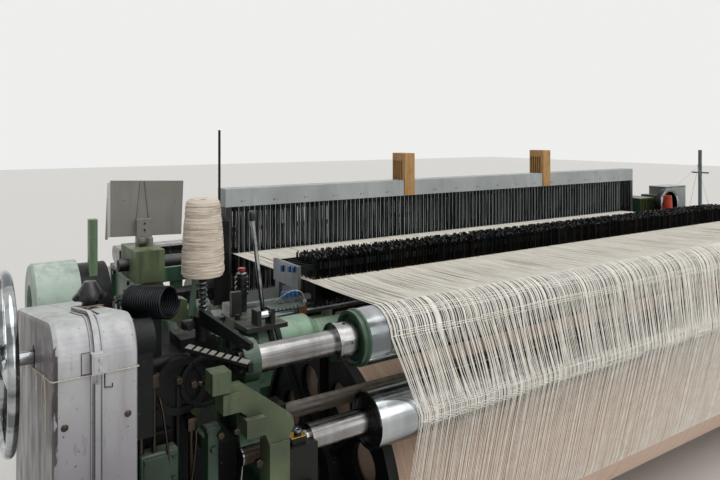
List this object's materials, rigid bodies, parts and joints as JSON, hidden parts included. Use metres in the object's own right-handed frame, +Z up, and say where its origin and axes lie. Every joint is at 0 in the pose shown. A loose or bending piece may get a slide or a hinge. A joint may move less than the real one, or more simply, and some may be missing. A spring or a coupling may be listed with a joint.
{
  "type": "weaving loom",
  "caption": "Wide power loom seen from its warp side, with warp beam, rising warp sheet over chrome rollers, drop wires, heald frames, reed, cloth take-up and a drive guard",
  "frame": {"origin": "middle of the footprint, on the floor", "axes": "+X along the weaving width towards the weft supply side, +Y from the warp beam towards the cloth, +Z up"},
  "size_m": [4.544, 2.14, 1.616],
  "materials": {
    "green_paint": "semi-gloss enamel, worn and oily",
    "pale_green_paint": "semi-gloss enamel, chipped",
    "dark_green_paint": "semi-gloss enamel",
    "dark_casting": "oily, rough",
    "black_paint": "oily, satin",
    "tube_brown": "satin, dirty",
    "bright_steel": "turned, oily",
    "chrome": "polished",
    "heald_aluminium": "satin",
    "warp_yarn": "undyed cotton",
    "cone_yarn": "undyed cotton",
    "string": "cotton cord",
    "guard_paint": "semi-gloss enamel, chipped and stained",
    "belt_rubber": "matte",
    "comb_wood": "bare, oily",
    "plate_steel": "dull sheet",
    "spring_steel": "oiled, dark",
    "red_plastic": "gloss"
  },
  "bodies": {
    "frame": {"left_frame": "green_paint", "right_frame": "green_paint", "main_spar": "green_paint", "rear_tube": "tube_brown", "breast_beam": "bright_steel", "feet": "dark_casting", "roller_pedestals": "black_paint", "lower_shaft": "bright_steel", "letoff_case": "green_paint", "warp_sheet": "warp_yarn", "drop_wires": "bright_steel", "stop_rails": "bright_steel", "harness_guides": "dark_casting", "cloth": "warp_yarn", "guard_left": "guard_paint", "guard_right": "guard_paint", "guard_fittings": "guard_paint", "guard_string": "string", "motor": "green_paint", "drive_belts": "belt_rubber", "gear_case": "dark_casting", "drum_cover": "pale_green_paint", "left_brackets": "green_paint", "shield_plate": "plate_steel", "cone_post": "dark_casting", "yarn_cone": "cone_yarn", "tension_spring": "spring_steel", "weft_unit": "dark_green_paint", "weft_packages": "cone_yarn", "temples": "bright_steel"},
    "back_rest": {"back_rest_tube": "pale_green_paint", "back_rest_levers": "pale_green_paint", "lever_fittings": "dark_casting", "upper_shaft": "bright_steel"},
    "upper_roll": {"upper_roller": "chrome", "roller_end_caps": "dark_green_paint"},
    "lower_roll": {"lower_roller": "chrome"},
    "beam": {"beam_barrel": "dark_casting", "beam_flanges": "dark_casting", "warp_roll": "warp_yarn", "beam_gear": "dark_casting"},
    "pinion": {"letoff_pinion": "bright_steel"},
    "heald_1": {"heald_frame_1": "heald_aluminium", "comb_blocks": "comb_wood"},
    "heald_2": {"heald_frame_2": "heald_aluminium"},
    "heald_3": {"heald_frame_3": "heald_aluminium"},
    "heald_4": {"heald_frame_4": "heald_aluminium"},
    "heald_5": {"heald_frame_5": "heald_aluminium"},
    "heald_6": {"heald_frame_6": "heald_aluminium"},
    "batten": {"sley": "green_paint", "reed": "bright_steel"},
    "take_up": {"take_up_roller": "bright_steel"},
    "press": {"press_roller": "dark_casting"},
    "cloth_wind": {"cloth_roll": "warp_yarn"},
    "crank": {"main_shaft": "bright_steel"},
    "wheel": {"handwheel": "chrome"},
    "motor_drive": {"motor_pulley": "dark_casting"},
    "lever": {"hand_lever": "chrome"},
    "button": {"stop_button": "red_plastic"},
    "feeder": {"feeder_drum": "dark_casting"}
  },
  "joints": [
    {"name": "back_rest_tilt", "type": "hinge", "parent": "frame", "child": "back_rest", "pos_m": [0, -0.55, 0.993], "axis": [1, 0, 0], "range_deg": [-2, 2], "stiffness_Nm_per_rad": 30000, "deforming": ["warp_sheet"]},
    {"name": "upper_roll_spin", "type": "hinge", "parent": "back_rest", "child": "upper_roll", "pos_m": [0, -0.847, 1.064], "axis": [1, 0, 0], "continuous": true},
    {"name": "lower_roll_spin", "type": "hinge", "parent": "frame", "child": "lower_roll", "pos_m": [0, -0.87, 0.851], "axis": [1, 0, 0], "continuous": true},
    {"name": "beam_spin", "type": "hinge", "parent": "frame", "child": "beam", "pos_m": [0, -0.5, 0.551], "axis": [1, 0, 0], "continuous": true},
    {"name": "pinion_spin", "type": "hinge", "parent": "frame", "child": "pinion", "pos_m": [0, -0.2757, 0.4215], "axis": [1, 0, 0], "continuous": true},
    {"name": "batten_swing", "type": "hinge", "parent": "frame", "child": "batten", "pos_m": [0, 0.47, 0.74], "axis": [-1, 0, 0], "range_deg": [0, 16]},
    {"name": "take_up_spin", "type": "hinge", "parent": "frame", "child": "take_up", "pos_m": [0, 0.83, 0.8], "axis": [1, 0, 0], "continuous": true},
    {"name": "press_spin", "type": "hinge", "parent": "frame", "child": "press", "pos_m": [0, 0.71482, 0.8665], "axis": [1, 0, 0], "continuous": true},
    {"name": "cloth_spin", "type": "hinge", "parent": "frame", "child": "cloth_wind", "pos_m": [0, 0.83482, 0.35], "axis": [1, 0, 0], "continuous": true},
    {"name": "crank_spin", "type": "hinge", "parent": "frame", "child": "crank", "pos_m": [0, -0.668, 0.76], "axis": [1, 0, 0], "continuous": true},
    {"name": "wheel_spin", "type": "hinge", "parent": "frame", "child": "wheel", "pos_m": [0, -0.79, 1.142], "axis": [1, 0, 0], "continuous": true},
    {"name": "motor_spin", "type": "hinge", "parent": "frame", "child": "motor_drive", "pos_m": [0, -0.9, 0.3], "axis": [1, 0, 0], "continuous": true},
    {"name": "lever_swing", "type": "hinge", "parent": "frame", "child": "lever", "pos_m": [0, -0.65, 1.104], "axis": [1, 0, 0], "range_deg": [-20, 20]},
    {"name": "button_press", "type": "slide", "parent": "frame", "child": "button", "axis": [0, 0, -1], "range_m": [0, 0.004], "stiffness_N_per_m": 400, "springref_m": -0.002},
    {"name": "feeder_spin", "type": "hinge", "parent": "frame", "child": "feeder", "pos_m": [1.752, 0.16, 1.121], "axis": [0, 1, 0], "continuous": true},
    {"name": "heald_1_lift", "type": "slide", "parent": "frame", "child": "heald_1", "axis": [0, 0, 1], "range_m": [-0.045, 0.045]},
    {"name": "heald_2_lift", "type": "slide", "parent": "frame", "child": "heald_2", "axis": [0, 0, 1], "range_m": [-0.045, 0.045]},
    {"name": "heald_3_lift", "type": "slide", "parent": "frame", "child": "heald_3", "axis": [0, 0, 1], "range_m": [-0.045, 0.045]},
    {"name": "heald_4_lift", "type": "slide", "parent": "frame", "child": "heald_4", "axis": [0, 0, 1], "range_m": [-0.045, 0.045]},
    {"name": "heald_5_lift", "type": "slide", "parent": "frame", "child": "heald_5", "axis": [0, 0, 1], "range_m": [-0.045, 0.045]},
    {"name": "heald_6_lift", "type": "slide", "parent": "frame", "child": "heald_6", "axis": [0, 0, 1], "range_m": [-0.045, 0.045]}
  ],
  "couplings": [
    {"joint": "pinion_spin", "follows": "beam_spin", "ratio": -5.1429},
    {"joint": "lower_roll_spin", "follows": "beam_spin", "ratio": 4.8824},
    {"joint": "upper_roll_spin", "follows": "beam_spin", "ratio": 4.8824},
    {"joint": "take_up_spin", "follows": "beam_spin", "ratio": 4.082},
    {"joint": "press_spin", "follows": "beam_spin", "ratio": -9},
    {"joint": "cloth_spin", "follows": "beam_spin", "ratio": -2.3242},
    {"joint": "wheel_spin", "follows": "crank_spin", "ratio": 1},
    {"joint": "motor_spin", "follows": "crank_spin", "ratio": 2.8}
  ]
}
